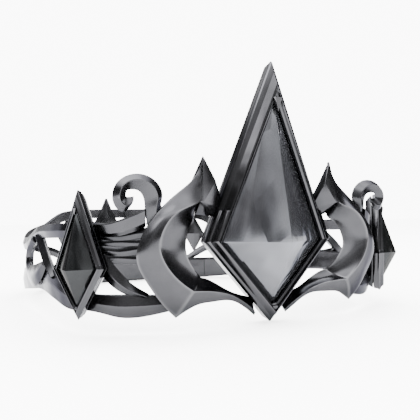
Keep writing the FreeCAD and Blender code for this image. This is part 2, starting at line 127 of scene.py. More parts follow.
# Handles that make a smoothed edge pass through the points themselves.
def handlesThrough(points):
    handles = [p.copy() for p in points]
    for _ in range(handlePasses):
        for i in range(1, len(points) - 1):
            handles[i] = (6 * points[i] - handles[i - 1] - handles[i + 1]) / 4
    return handles


def selectEdges(test):
    bpy.ops.mesh.select_all(action="DESELECT")
    mesh = liveMesh()
    bpy.context.tool_settings.mesh_select_mode = (False, True, False)
    for edge in mesh.edges:
        edge.select_set(test(edge))
    bmesh.update_edit_mesh(bpy.context.object.data)


def onlyThis(piece):
    bpy.ops.object.select_all(action="DESELECT")
    piece.select_set(True)
    bpy.context.view_layer.objects.active = piece


def allModifiers(piece):
    onlyThis(piece)
    for modifier in list(piece.modifiers):
        bpy.ops.object.modifier_apply(modifier=modifier.name)


def outward(piece):
    onlyThis(piece)
    bpy.ops.object.mode_set(mode="EDIT")
    bpy.ops.mesh.select_all(action="SELECT")
    bpy.ops.mesh.remove_doubles(threshold=0.000002)
    bpy.ops.mesh.normals_make_consistent(inside=False)
    bpy.ops.object.mode_set(mode="OBJECT")


def smoothed(piece, levels):
    smooth = piece.modifiers.new("smooth", "SUBSURF")
    smooth.levels = levels
    smooth.render_levels = levels
    allModifiers(piece)


def softened(piece, width, angle=24, segments=2):
    edge = piece.modifiers.new("edge", "BEVEL")
    edge.width = width * mm
    edge.segments = segments
    edge.limit_method = "ANGLE"
    edge.angle_limit = math.radians(angle)
    edge.use_clamp_overlap = True
    edge.miter_outer = "MITER_ARC"
    allModifiers(piece)
    bpy.ops.object.shade_smooth_by_angle(angle=math.radians(50))


# A bar drawn through a row of outlines, smooth along its length, crisp along its edges.
def drawnBar(name, sections, levels=2, ridge=1.0, soft=0.25, rounded=()):
    count = len(sections[0])
    columns = [handlesThrough([s[k] for s in sections]) for k in range(count)]
    rows = [[columns[k][i] for k in range(count)] for i in range(len(sections))]
    startPiece(rows[0])
    for before, after in zip(rows, rows[1:]):
        drawTo(before, after)
    piece = bpy.context.object
    corners = [[p * mm for p in row] for row in rows]
    ends = corners[0] + corners[-1]

    def runsAlong(edge):
        a, b = edge.verts[0].co, edge.verts[1].co
        for k in range(count):
            if k in rounded:
                continue
            line = [row[k] for row in corners]
            nearA = min(range(len(line)), key=lambda i: (line[i] - a).length)
            nearB = min(range(len(line)), key=lambda i: (line[i] - b).length)
            onLine = (line[nearA] - a).length < sameSpot and (line[nearB] - b).length < sameSpot
            if onLine and abs(nearA - nearB) == 1:
                return True
        return False

    def atEnd(edge):
        return all(min((p - v.co).length for p in ends) < sameSpot for v in edge.verts)

    selectEdges(runsAlong)
    bpy.ops.transform.edge_crease(value=ridge)
    selectEdges(atEnd)
    bpy.ops.transform.edge_crease(value=1)
    bpy.ops.object.mode_set(mode="OBJECT")
    piece.name = name
    piece.data.name = name
    outward(piece)
    smoothed(piece, levels)
    softened(piece, soft)
    return piece


# A wall of flat facets: rings of corners joined one to the next. A closed row comes back to its first ring.
def ringedPiece(name, rings, closed=False, soft=0.3, segments=2):
    startPiece(rings[0])
    for before, after in zip(rings, rings[1:]):
        drawTo(before, after)
    if closed:
        drawTo(rings[-1], rings[0])
        first = [p * mm for p in rings[0]]
        bpy.context.tool_settings.mesh_select_mode = (False, False, True)
        bpy.ops.mesh.select_all(action="DESELECT")
        mesh = liveMesh()
        for face in mesh.faces:
            here = [min((p - v.co).length for p in first) < sameSpot for v in face.verts]
            face.select_set(all(here))
        bmesh.update_edit_mesh(bpy.context.object.data)
        bpy.ops.mesh.delete(type="ONLY_FACE")
    bpy.ops.object.mode_set(mode="OBJECT")
    bpy.context.tool_settings.mesh_select_mode = (True, False, False)
    piece = bpy.context.object
    piece.name = name
    piece.data.name = name
    outward(piece)
    softened(piece, soft, angle=8, segments=segments)
    return piece


def otherSide(piece, name):  # the same piece on the wearer's other side, with its own mesh
    onlyThis(piece)
    bpy.ops.object.duplicate()
    twin = bpy.context.object
    twin.name = name
    twin.data.name = name
    bpy.ops.object.mode_set(mode="EDIT")
    bpy.ops.mesh.select_all(action="SELECT")
    bpy.ops.transform.resize(value=(-1, 1, 1), center_override=(0, 0, 0))
    bpy.ops.mesh.normals_make_consistent(inside=False)
    bpy.ops.object.mode_set(mode="OBJECT")
    return twin


def placed(piece, surface, node):  # surface is a material and the name of its slot; the slot's name is not used
    material, slotName = surface
    piece.data.materials.clear()
    piece.data.materials.append(material)
    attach(piece, "root")
    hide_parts(node)


def placedBoth(piece, surface, node):
    piece.name = "right_" + node + "_worked"
    twin = otherSide(piece, "left_" + node + "_worked")
    placed(piece, surface, "right_" + node)
    placed(twin, surface, "left_" + node)


# Camera, floor and lights.

camera = {"place": (-0.12259, -0.26850, 0.04355), "turn": (90.7186, 0.7387, -27.4908), "lens": 45.557}
bpy.ops.object.camera_add(location=camera["place"], rotation=[math.radians(a) for a in camera["turn"]])
eye = bpy.context.object
eye.name = "camera"
eye.data.lens = camera["lens"]
eye.data.sensor_width = 36
eye.data.clip_start = 0.01
bpy.context.scene.camera = eye


def linear(hexColour):
    values = [int(hexColour[i:i + 2], 16) / 255 for i in (1, 3, 5)]
    return tuple(v / 12.92 if v <= 0.04045 else ((v + 0.055) / 1.055) ** 2.4 for v in values) + (1,)


def addNode(tree, kind, settings=None, values=None, links=None):
    node = tree.nodes.new(kind)
    for key, value in (settings or {}).items():
        setattr(node, key, value)
    for key, value in (values or {}).items():
        node.inputs[key].default_value = value
    for key, source in (links or {}).items():
        tree.links.new(source, node.inputs[key])
    return node


studio = {"floor": "#fafafa", "floorSize": 8.0, "backdrop": 10.0, "fill": 10.0, "sides": 0.32, "front": 2.3,
          "sky": 0.9, "overhead": 11.0, "patches": (0.2, 3.0)}
bpy.ops.object.select_all(action="DESELECT")
bpy.ops.mesh.primitive_plane_add(size=studio["floorSize"], location=(0, 0, -0.0004))
floor = bpy.context.object
floor.name = "floor"
floorPaint = bpy.data.materials.new("white card floor")
floorPaint.use_nodes = True
floorPaint.node_tree.nodes["Principled BSDF"].inputs["Base Color"].default_value = linear(studio["floor"])
floorPaint.node_tree.nodes["Principled BSDF"].inputs["Roughness"].default_value = 0.9
floor.data.materials.append(floorPaint)

# A white room whose side walls are dark, so that polished metal has something to mirror.
world = bpy.data.worlds.new("studio room")
bpy.context.scene.world = world
world.use_nodes = True
room = world.node_tree
towards = addNode(room, "ShaderNodeTexCoord").outputs["Generated"]
axes = addNode(room, "ShaderNodeSeparateXYZ", {}, {}, {"Vector": towards})
sideways = addNode(room, "ShaderNodeMath", {"operation": "ABSOLUTE"}, {}, {0: axes.outputs["X"]})
wall = addNode(room, "ShaderNodeMapRange", {"interpolation_type": "SMOOTHSTEP"},
               {"From Min": 0.45, "From Max": 0.85, "To Min": studio["front"], "To Max": studio["sides"]},
               {"Value": sideways.outputs[0]})
upper = addNode(room, "ShaderNodeMapRange", {"interpolation_type": "SMOOTHSTEP"},
                {"From Min": -0.05, "From Max": 0.32,
                 "To Min": 1.0, "To Max": studio["sky"] / studio["front"]},
                {"Value": axes.outputs["Z"]})
plain = addNode(room, "ShaderNodeMath", {"operation": "MULTIPLY"}, {},
                {0: wall.outputs["Result"], 1: upper.outputs["Result"]})
mottle = addNode(room, "ShaderNodeTexNoise", {}, {"Scale": 2.6, "Detail": 1}, {"Vector": towards})
patches = addNode(room, "ShaderNodeMapRange", {"interpolation_type": "SMOOTHSTEP"},
                  {"From Min": 0.38, "From Max": 0.62,
                   "To Min": studio["patches"][0], "To Max": studio["patches"][1]},
                  {"Value": mottle.outputs["Fac"]})
walls = addNode(room, "ShaderNodeMath", {"operation": "MULTIPLY"}, {},
                {0: plain.outputs[0], 1: patches.outputs["Result"]})
lid = addNode(room, "ShaderNodeMapRange", {"interpolation_type": "SMOOTHSTEP"},
              {"From Min": 0.62, "From Max": 0.82, "To Min": 0, "To Max": studio["overhead"]},
              {"Value": axes.outputs["Z"]})
mirrored = addNode(room, "ShaderNodeMath", {"operation": "ADD"}, {},
                   {0: walls.outputs[0], 1: lid.outputs["Result"]})
ray = addNode(room, "ShaderNodeLightPath")
notGlossy = addNode(room, "ShaderNodeMix", {"data_type": "FLOAT"},
                    {2: studio["fill"], 3: studio["backdrop"]}, {0: ray.outputs["Is Camera Ray"]})
strength = addNode(room, "ShaderNodeMix", {"data_type": "FLOAT"}, {},
                   {0: ray.outputs["Is Glossy Ray"], 2: notGlossy.outputs[0], 3: mirrored.outputs[0]})
room.links.new(strength.outputs[0], room.nodes["Background"].inputs["Strength"])
room.nodes["Background"].inputs["Color"].default_value = (1, 1, 1, 1)

lamps = [  # name, place, looks at, width, height, watts
    ("overhead box", (-0.10, 0.15, 0.85), (0, 0, 0.04), 0.8, 0.6, 12),
    ("right box", (0.86, -0.12, 0.64), (0, 0, 0.04), 0.38, 0.38, 8),
    ("left box", (-0.55, -0.35, 0.62), (0, 0, 0.04), 0.25, 0.3, 2.5),
]
for name, place, aim, width, height, watts in lamps:
    bpy.ops.object.light_add(type="AREA", location=place)
    lamp = bpy.context.object
    lamp.name = name
    lamp.data.shape = "RECTANGLE"
    lamp.data.size = width
    lamp.data.size_y = height
    lamp.data.energy = watts
    lamp.rotation_euler = (Vector(aim) - Vector(place)).to_track_quat("-Z", "Y").to_euler()
print("camera, floor and lights set")


# Materials.

def patternScale(size):  # texture scale for a pattern whose grains are this many millimetres across
    return 1000 / size


# Sterling silver, cast and barrel-polished, then darkened with liver of sulphur and buffed back: a dark
# steel-grey mirror with fine buffing lines. Hollows are darker, partly from patina left where the cloth did
# not reach and partly from painted shade; edges are paler, partly from rubbed wear and partly from a painted
# highlight.
def castSilver(finish):
    material = bpy.data.materials.new(finish["name"])
    material.use_nodes = True
    tree = material.node_tree
    shader = tree.nodes["Principled BSDF"]
    shader.inputs["Metallic"].default_value = 1
    shader.inputs["Specular Tint"].default_value = linear(finish["glance"])
    place = addNode(tree, "ShaderNodeTexCoord").outputs["Object"]
    cloud = addNode(tree, "ShaderNodeTexNoise", {},
                    {"Scale": patternScale(finish["cloudMm"]), "Detail": 4}, {"Vector": place})
    tone = addNode(tree, "ShaderNodeMix", {"data_type": "RGBA"},
                   {6: linear(finish["shade"]), 7: linear(finish["colour"])}, {0: cloud.outputs["Fac"]})
    # Darker in hollows: partly the real patina, partly painted shade where shade falls.
    hollow = addNode(tree, "ShaderNodeAmbientOcclusion", {"samples": 8},
                     {"Distance": finish["hollowMm"] * mm})
    clearOfPatinaAndShade = addNode(tree, "ShaderNodeMapRange", {}, {"From Min": 0.3, "From Max": 0.95},
                      {"Value": hollow.outputs["AO"]})
    patinaAndShade = addNode(tree, "ShaderNodeMix", {"data_type": "RGBA"}, {6: linear(finish["patinaAndShade"])},
                     {0: clearOfPatinaAndShade.outputs["Result"], 7: tone.outputs[2]})
    # Paler on sharp edges: partly rubbed wear, partly a painted highlight.
    bend = addNode(tree, "ShaderNodeNewGeometry").outputs["Pointiness"]
    rubbedAndHighlight = addNode(tree, "ShaderNodeMapRange", {}, {"From Min": 0.53, "From Max": 0.75, "To Max": 0.2},
                     {"Value": bend})
    wornAndHighlight = addNode(tree, "ShaderNodeMix", {"data_type": "RGBA"}, {7: linear(finish["rubbedAndHighlight"])},
                   {0: rubbedAndHighlight.outputs["Result"], 6: patinaAndShade.outputs[2]})
    tree.links.new(wornAndHighlight.outputs[2], shader.inputs["Base Color"])
    gloss = addNode(tree, "ShaderNodeMapRange", {},
                    {"From Min": 0.3, "From Max": 0.7,
                     "To Min": finish["roughness"][0], "To Max": finish["roughness"][1]},
                    {"Value": cloud.outputs["Fac"]})
    tree.links.new(gloss.outputs["Result"], shader.inputs["Roughness"])
    lines = addNode(tree, "ShaderNodeTexNoise", {},
                    {"Scale": patternScale(finish["lineMm"]), "Detail": 3}, {"Vector": place})
    waves = addNode(tree, "ShaderNodeTexNoise", {},
                    {"Scale": patternScale(finish["waveMm"]), "Detail": 1}, {"Vector": place})
    fine = addNode(tree, "ShaderNodeBump", {}, {"Strength": 0.05, "Distance": 0.0001},
                   {"Height": lines.outputs["Fac"]})
    hand = addNode(tree, "ShaderNodeBump", {}, {"Strength": 0.3, "Distance": 0.0012},
                   {"Height": waves.outputs["Fac"], "Normal": fine.outputs["Normal"]})
    tree.links.new(hand.outputs["Normal"], shader.inputs["Normal"])
    return material


# Foil-backed smoky crystal: a clear hard polish over a grey foil, whose cut back shows through as soft
# facet shapes that tilt one way and another.
def smokyCrystal(finish):
    material = bpy.data.materials.new(finish["name"])
    material.use_nodes = True
    tree = material.node_tree
    shader = tree.nodes["Principled BSDF"]
    shader.inputs["Metallic"].default_value = 0.9
    shader.inputs["Specular Tint"].default_value = linear(finish["glance"])
    shader.inputs["Roughness"].default_value = finish["roughness"]
    shader.inputs["Coat Weight"].default_value = finish["polish"]
    shader.inputs["Coat Roughness"].default_value = 0.03
    shader.inputs["Coat IOR"].default_value = 1.54
    place = addNode(tree, "ShaderNodeTexCoord").outputs["Object"]
    tall = addNode(tree, "ShaderNodeMapping", {}, {"Scale": (1, 1, 0.45)}, {"Vector": place})
    cut = addNode(tree, "ShaderNodeTexVoronoi", {}, {"Scale": patternScale(finish["cutMm"])},
                  {"Vector": tall.outputs["Vector"]})
    centred = addNode(tree, "ShaderNodeVectorMath", {"operation": "SUBTRACT"}, {1: (0.5, 0.5, 0.5)},
                      {0: cut.outputs["Color"]})
    lean = addNode(tree, "ShaderNodeVectorMath", {"operation": "MULTIPLY"}, {1: finish["tilt"]},
                   {0: centred.outputs["Vector"]})
    normal = addNode(tree, "ShaderNodeNewGeometry").outputs["Normal"]
    added = addNode(tree, "ShaderNodeVectorMath", {"operation": "ADD"}, {},
                    {0: normal, 1: lean.outputs["Vector"]})
    facing = addNode(tree, "ShaderNodeVectorMath", {"operation": "NORMALIZE"}, {},
                     {0: added.outputs["Vector"]})
    tree.links.new(facing.outputs["Vector"], shader.inputs["Normal"])
    cloud = addNode(tree, "ShaderNodeTexNoise", {},
                    {"Scale": patternScale(2 * finish["cutMm"]), "Detail": 2, "Distortion": 0.8},
                    {"Vector": place})
    tone = addNode(tree, "ShaderNodeMix", {"data_type": "RGBA"},
                   {6: linear(finish["colour"]), 7: linear(finish["veil"])}, {0: cloud.outputs["Fac"]})
    tree.links.new(tone.outputs[2], shader.inputs["Base Color"])
    return material


# "glance" keeps glancing light down, "hollowMm" is how far the occlusion reaches that darkens hollows with
# patina and painted shade, and "tilt" is how far the cuts lean, mostly sideways, as on a tall stone.
darkSilver = {"name": "darkened cast silver", "colour": "#373739", "shade": "#28282a", "patinaAndShade": "#1a1b1c",
              "rubbedAndHighlight": "#68686a", "glance": "#b4b4b6", "roughness": (0.16, 0.25),
              "cloudMm": 9.0, "lineMm": 0.6, "waveMm": 11.0, "hollowMm": 15.0}
buffedSilver = {"name": "buffed cast silver", "colour": "#3a3a3c", "shade": "#2a2a2c", "patinaAndShade": "#1c1d1e",
                "rubbedAndHighlight": "#747476", "glance": "#b4b4b6", "roughness": (0.12, 0.22),
                "cloudMm": 12.0, "lineMm": 0.6, "waveMm": 14.0, "hollowMm": 8.0}
paleCrystal = {"name": "foil-backed smoky crystal", "colour": "#121316", "veil": "#5a5b5f",
               "glance": "#96969a", "roughness": 0.12, "polish": 0.25,
               "cutMm": 13.0, "tilt": (0.42, 0.42, 0.1)}
# The side stones get a darker copy of the same crystal, which is painted shade.
shadedCrystal = {"name": "foil-backed smoky crystal, shaded copy", "colour": "#08090a", "veil": "#202122",
               "glance": "#96969a", "roughness": 0.14, "polish": 0.12,
               "cutMm": 7.0, "tilt": (0.45, 0.45, 0.12)}
silver = castSilver(darkSilver)
bright = castSilver(buffedSilver)
crystal = smokyCrystal(paleCrystal)
darkCrystal = smokyCrystal(shadedCrystal)
darkMetal = (silver, "dark_silver")
brightMetal = (bright, "bright_edge")
paleStone = (crystal, "smoky_stone")
shadedStone = (darkCrystal, "smoky_stone")
for name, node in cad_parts.items():
    material = silver
    if name.endswith("gem"):
        material = crystal
    elif name.endswith(("frame", "cradle", "claws")):
        material = bright
    node.data.materials.clear()
    node.data.materials.append(material)
print("materials ready")


# Kite settings, made facing -Y with the rim at y = 0, then placed.

frontKite = {"half": 29.9, "bottom": 0.5, "corner": 33.6, "top": 106.9, "gemHalf": 24.0, "gemBottom": 7.3,
             "gemTop": 90.5, "gemPeak": 15.8, "depth": 6.0, "crest": 4.6, "lean": 2.4}
sideKite = {"half": 10.5, "bottom": 6.3, "corner": 24.8, "top": 54.2, "gemHalf": 8.3, "gemBottom": 10.6,
            "gemTop": 47.0, "gemPeak": 8.4, "depth": 3.0, "crest": 2.0}
stoneFoot = {"depthShare": 0.58, "girdleShare": 0.5}


def kiteBetween(kite, share, out):
    half = kite["half"] + share * (kite["gemHalf"] - kite["half"])
    bottom = kite["bottom"] + share * (kite["gemBottom"] - kite["bottom"])
    top = kite["top"] + share * (kite["gemTop"] - kite["top"])
    return [Vector((0, -out, bottom)), Vector((half, -out, kite["corner"])),
            Vector((0, -out, top)), Vector((-half, -out, kite["corner"]))]


def atFront(point):
    tilt = Matrix.Rotation(math.radians(frontKite["lean"]), 3, "X")
    pivot = Vector((0, 0, frontKite["corner"]))
    return tilt @ (point - pivot) + pivot + Vector((0, frontPlane, 0))


def atSide(point):
    far = ringReach(ring["sideAngle"]) + ring["bulge"] + ring["sideStandOff"]
    return Matrix.Rotation(math.radians(ring["sideAngle"]), 3, "Z") @ (point + Vector((0, -far, 0)))


def kiteFrame(name, kite, place, soft):
    d, c = kite["depth"], kite["crest"]
    profile = [(0.1, -0.9 * d), (0, -0.1 * d), (0.04, 0.1 * c), (0.32, 0.4 * c), (0.6, 0.93 * c), (0.67, c),
               (0.72, 0.8 * c), (0.76, 0.78 * c), (0.82, 0.9 * c), (0.94, 0.8 * c), (1, 0.5 * c), (1, -d),
               (0.75, -d)]  # share of the way in to the stone, and how far out of the rim plane
    rings = [[place(p) for p in kiteBetween(kite, share, out)] for share, out in profile]
    return ringedPiece(name, rings, closed=True, soft=soft)


def kiteGem(name, kite, place, soft):
    girdle = stoneFoot["girdleShare"] * kite["crest"]
    floorOut = -kite["depth"] * stoneFoot["depthShare"]
    rings = [[place(p) for p in kiteBetween(kite, share, out)] for share, out in
             [(1.5, floorOut), (1.22, floorOut + 0.5), (1.04, 0.5 * girdle), (1.04, girdle)]]
    peak = place(Vector((0, -kite["gemPeak"], kite["corner"])))
    rings.append([peak] * 4)  # the four facets close at one point
    return ringedPiece(name, rings, soft=soft, segments=1)


def kiteCorner(kite, outset):
    drop, climb = kite["corner"] - kite["bottom"], kite["top"] - kite["corner"]
    low, high = math.hypot(kite["half"], drop), math.hypot(kite["half"], climb)
    downX, downZ = drop / low, -kite["half"] / low
    upX, upZ = climb / high, kite["half"] / high
    cross = downX * upZ - downZ * upX
    return kite["half"] + outset * (upZ - downZ) / cross, kite["corner"] + outset * (downX - upX) / cross


def kiteEdge(kite, outset, height):
    climb = kite["top"] - kite["corner"]
    top = kite["top"] + outset * math.hypot(kite["half"], climb) / kite["half"]
    return (top - height) * kite["half"] / climb


# A folded strip laid on the lower half of the bevel, its two arms cut level.
def kiteCradle(name, kite, place, wall, width, top, back, soft):
    c = kite["crest"]
    profile = [(-0.5 * width, -back), (-0.2 * width, -back), (wall, 0), (wall, 0.1 * c),
               (-0.14 * width, 0.38 * c), (-0.34 * width, 0.46 * c), (-0.42 * width, 0.56 * c),
               (-0.74 * width, 1.02 * c), (-width, 1.12 * c), (-1.02 * width, 0.6 * c)]
    rows = [[], [], [], [], []]
    for outset, out in profile:
        cornerX, cornerZ = kiteCorner(kite, outset)
        edge = kiteEdge(kite, outset, top)
        low = math.hypot(kite["half"], kite["corner"] - kite["bottom"])
        places = [(-edge, top), (-cornerX, cornerZ), (0, kite["bottom"] - outset * low / kite["half"]),
                  (cornerX, cornerZ), (edge, top)]
        for row, (x, z) in zip(rows, places):
            row.append(place(Vector((x, -out, z))))
    return ringedPiece(name, rows, soft=soft)


frontCradle = {"wall": 0.3, "width": 3.0, "top": 46.0, "back": 4.2}
sideCradle = {"wall": 0.2, "width": 1.3, "top": 26.4, "back": 1.6}
placed(kiteFrame("front_frame_worked", frontKite, atFront, 0.35), brightMetal, "front_frame")
placed(kiteGem("front_gem_worked", frontKite, atFront, 0.3), paleStone, "front_gem")
placed(kiteCradle("front_cradle_worked", frontKite, atFront, soft=0.25, **frontCradle), brightMetal,
       "front_cradle")
placedBoth(kiteFrame("side_frame", sideKite, atSide, 0.15), brightMetal, "side_frame")
placedBoth(kiteGem("side_gem", sideKite, atSide, 0.15), shadedStone, "side_gem")
placedBoth(kiteCradle("side_cradle", sideKite, atSide, soft=0.12, **sideCradle), brightMetal, "side_cradle")

# A block with sloping sides between each side setting and the bands. Its outlines are shares of the way in
# from the setting's rim, at the setting, just behind it and at the bands.
padBlock = {"thickness": 3.0, "atSetting": 0.14, "behind": 0.18, "atBands": 0.5, "step": 0.3}


def sidePad(kite, pad):
    face = -kite["depth"]
    outlines = [(pad["atSetting"], face), (pad["behind"], face - pad["step"] * pad["thickness"]),
                (pad["atBands"], face - pad["thickness"])]
    rings = [[atSide(p) for p in kiteBetween(kite, share, out)] for share, out in outlines]
    return ringedPiece("side_pad", rings, soft=0.3)


placedBoth(sidePad(sideKite, padBlock), darkMetal, "side_pad")
print("kite settings done")


# Crescents: a shallow roof section swept round a C, then an arm and a horn.

crescentShape = {"ridge": 4.1, "back": 4.0, "swell": 1.1, "dish": 1.3, "fullFace": 9,
                 "strandLap": 17.4, "railLap": 12.5, "stemLap": 20.4, "tuck": 2.4}
cradleX = kiteCorner(frontKite, frontCradle["wall"])[0]


def edgePoint(spot):  # x out from the cradle's corner, z up, depth out from the rim plane
    return Vector((cradleX + spot[0], frontPlane - spot[2], spot[1]))


def roofSection(outer, ridge, inner, back):
    swell, dish, fullFace = (crescentShape[key] for key in ("swell", "dish", "fullFace"))
    o, r, i = edgePoint(outer), edgePoint(ridge), edgePoint(inner)
    along = (i - o).normalized()
    foot = o + along * (r - o).dot(along)
    out = (r - foot).normalized()
    onOuter = (o + r) / 2 + out * swell * min(1, (r - o).length / fullFace)  # the broad face swells a little
    onInner = (r + i) / 2 - out * dish * min(1, (r - i).length / fullFace)   # the narrow face is dished
    return [o, onOuter, r, onInner, i, (o + i) / 2 - out * back]


ridge = crescentShape["ridge"]
back = crescentShape["back"]
mitre = roofSection((12.0, 5.7, -0.6), (6.6, 15.9, ridge + 0.2), (0.3, 19.9, -2.4), 3.4)
crescentRows = [roofSection(*spots) for spots in [
    ((0.6, 66.7, 1.2), (0.3, 66.2, 1.5), (0.1, 66.4, 0.2), 0.4),
    ((4.2, 58.6, 0.7), (2.2, 56.9, 0.6 * ridge), (2.0, 56.4, -1.8), 1.6),
    ((12.5, 51.6, 0), (3.4, 49.4, ridge - 0.2), (2.2, 44.6, -3.6), 2.6),
    ((20.4, 44.2, 0), (11.4, 46.2, ridge), (5.1, 40.6, -1.4), back),
    ((25.3, 36.9, 0), (17.9, 40.0, ridge), (7.4, 35.7, 0), back),
    ((27.4, 28.2, 0), (19.7, 32.5, ridge - 0.2), (7.9, 30.6, 0.6), back),
    ((23.4, 19.4, 0), (16.8, 25.2, ridge), (6.0, 26.0, 0), back),
    ((17.5, 11.2, 0), (11.7, 19.6, ridge), (3.1, 22.5, -1.0), back)]] + [mitre]
armRows = [mitre] + [roofSection(*spots) for spots in [
    ((4.2, 10.0, 1.2), (1.0, 15.4, ridge - 0.8), (-3.2, 18.9, -2.8), 3.0),
    ((-3.2, 10.8, 1.5), (-5.8, 14.3, ridge - 1.8), (-8.6, 16.0, -3.2), 2.6),
    ((-11.4, 10.4, 1.0), (-12.7, 11.9, 1.9), (-14.6, 12.9, -3.0), 2.0),
    ((-18.9, 6.2, 0.2), (-19.6, 7.6, 0.8), (-21.0, 10.8, -2.8), 1.6),
    ((-22.6, 3.4, -0.8), (-23.0, 4.6, -0.4), (-23.8, 9.0, -3.2), 1.2)]]
placedBoth(drawnBar("crescent", crescentRows, levels=3, soft=0.3, rounded=(1, 3)), darkMetal, "crescent")
placedBoth(drawnBar("crescent_arm", armRows, levels=3, soft=0.25, rounded=(1, 3)), darkMetal, "crescent_arm")

horn = {"low": 43.4, "high": 49.6, "overlap": 0.6}
lowX = kiteEdge(frontKite, 0, horn["low"]) - cradleX - horn["overlap"]
highX = kiteEdge(frontKite, 0, horn["high"]) - cradleX - horn["overlap"]
hornRows = [[edgePoint(p) for p in row] for row in [
    [(0.2, 66.2, 1.4), (3.3, 49.3, ridge - 0.4), (2.0, 44.4, -3.4), (2.6, 49.3, -3.6), (0.0, 65.4, 0.0)],
    [(0.5 * highX + 0.1, 57.6, 3.3), (1.6, 49.0, 3.9), (0.5 * lowX + 1.0, 43.9, -1.4), (0.9, 49.2, -3.5),
     (0.5 * highX, 57.2, -1.4)],
    [(highX, horn["high"], 1.0), (0.5 * (lowX + highX), 46.6, 1.0), (lowX, horn["low"], -0.1),
     (0.5 * (lowX + highX), 46.4, -3.6), (highX, horn["high"], -3.2)]]]
placedBoth(ringedPiece("crescent_horn", hornRows, soft=0.2), darkMetal, "crescent_horn")
print("crescents done")


# Scrolls: a ribbon with a folded front, curled like a fern.

scrollShape = {"plane": -2.2, "foldShare": 0.4, "ribbon": [  # outer edge, inner edge, half depth
    ((15.6, 40.2), (22.0, 38.6), 1.2), ((17.2, 46.0), (23.2, 45.4), 2.4), ((16.1, 51.6), (23.5, 49.6), 3.0),
    ((18.2, 56.6), (24.7, 52.5), 3.0), ((23.4, 59.5), (26.8, 53.7), 2.8), ((29.4, 59.2), (29.3, 53.7), 2.6),
    ((34.0, 56.1), (30.2, 52.9), 2.6), ((35.6, 51.6), (30.4, 51.6), 2.5), ((34.4, 47.4), (30.0, 51.2), 2.3),
    ((31.2, 45.6), (29.2, 51.2), 1.9), ((28.0, 48.6), (27.4, 51.4), 0.8)]}
scrollRows = []
for outerEdge, innerEdge, halfDepth in scrollShape["ribbon"]:
    o = edgePoint((outerEdge[0], outerEdge[1], scrollShape["plane"]))
    i = edgePoint((innerEdge[0], innerEdge[1], scrollShape["plane"]))
    fold = o * (1 - scrollShape["foldShare"]) + i * scrollShape["foldShare"]
    scrollRows.append([o, fold + Vector((0, -halfDepth, 0)), i, fold + Vector((0, halfDepth, 0))])
placedBoth(drawnBar("scroll", scrollRows, levels=3, soft=0.25), darkMetal, "scroll")
print("scrolls done")


# Bands, rail and strands; each station is angle, bottom, top and how far out.

def bandRows(stations, thickness, swell):
    rows = []
    for angle, bottom, top, offset in stations:
        inner, outer = offset - thickness / 2, offset + thickness / 2
        rows.append([ringPoint(angle, inner, bottom), ringPoint(angle, outer - swell, bottom),
                     ringPoint(angle, outer, (bottom + top) / 2), ringPoint(angle, outer - swell, top),
                     ringPoint(angle, inner, top)])
    return rows


def crescentAngle(lap):
    return ringAngleAt(cradleX + lap)


bands = {"thickness": 3.2, "lowerHeight": 14.0, "upperHeight": 5.9, "upperTop": 49.4, "footAngle": 146.0,
         "stepAngle": 139.5, "backSteps": 8}
sideAngle, bulge = ring["sideAngle"], ring["bulge"]

railEnd = crescentAngle(crescentShape["railLap"])
railSpan = sideAngle - railEnd
railLap = offsetToPlane(railEnd, frontPlane + crescentShape["tuck"])
railStations = [(railEnd, 8.3, 14.0, railLap), (railEnd + 0.2 * railSpan, 7.0, 14.4, 0.6 * railLap + 0.8),
                (railEnd + 0.42 * railSpan, 6.0, 14.6, 2.4), (railEnd + 0.62 * railSpan, 6.3, 14.6, 3.0),
                (railEnd + 0.82 * railSpan, 7.8, 14.6, 3.7), (sideAngle, 8.4, 15.0, bulge)]
railRows = bandRows(railStations, bands["thickness"], 0.9)
placedBoth(drawnBar("front_rail", railRows, levels=3, soft=0.3), darkMetal, "front_rail")

lowerStations = [(sideAngle, 8.4, 15.0, bulge), (52, 8.2, 17.6, 0.85 * bulge), (58, 10.0, 21.2, 0.5 * bulge),
                 (64, 11.4, 23.2, 0.25 * bulge), (72, 12.2, 23.2, 0), (82, 11.4, 21.9, 0), (93, 9.7, 20.2, 0),
                 (108, 6.9, 18.0, 0), (124, 3.7, 15.9, 0), (136, 1.4, 14.6, 0),
                 (bands["footAngle"], 0, bands["lowerHeight"], 0)]
lowerRows = bandRows(lowerStations, bands["thickness"], 0.8)
placedBoth(drawnBar("side_lower_band", lowerRows, levels=3, soft=0.35), darkMetal, "side_lower_band")


def upperStations(tops):  # the upper bands are as tall all the way, so only their tops are listed
    return [(angle, top - bands["upperHeight"], top, offset) for angle, top, offset in tops]


upperTops = [(sideAngle, 41.6, bulge), (52, 41.7, 0.85 * bulge), (58, 41.6, 0.5 * bulge),
             (66, 41.2, 0.2 * bulge), (77, 40.4, 0), (89, 37.2, 0), (102, 33.8, 0), (114, 33.8, 0),
             (126, 36.4, 0), (134, 38.7, 0), (bands["stepAngle"], 40.4, 0)]
upperRows = bandRows(upperStations(upperTops), bands["thickness"], 0.9)
placedBoth(drawnBar("side_upper_band", upperRows, levels=3, soft=0.35), darkMetal, "side_upper_band")

farFoot = 360 - bands["footAngle"]
lowerAngles = [bands["footAngle"] + (farFoot - bands["footAngle"]) * i / bands["backSteps"]
               for i in range(bands["backSteps"] + 1)]
backStations = [(angle, 0, bands["lowerHeight"], 0) for angle in lowerAngles]
backLowerRows = bandRows(backStations, bands["thickness"], 0.8)
placed(drawnBar("back_lower_band_worked", backLowerRows, levels=3, soft=0.35), darkMetal, "back_lower_band")

highest = bands["upperTop"]
rise = [(bands["stepAngle"], 40.4, 0), (144.3, highest - 4.8, 0), (149, highest - 1.6, 0),
        (157, highest - 0.2, 0), (168, highest, 0), (180, highest, 0)]
fall = [(360 - angle, top, 0) for angle, top, _ in reversed(rise[:-1])]
backUpperRows = bandRows(upperStations(rise + fall), bands["thickness"], 0.7)
placed(drawnBar("back_upper_band_worked", backUpperRows, levels=3, soft=0.35), darkMetal, "back_upper_band")

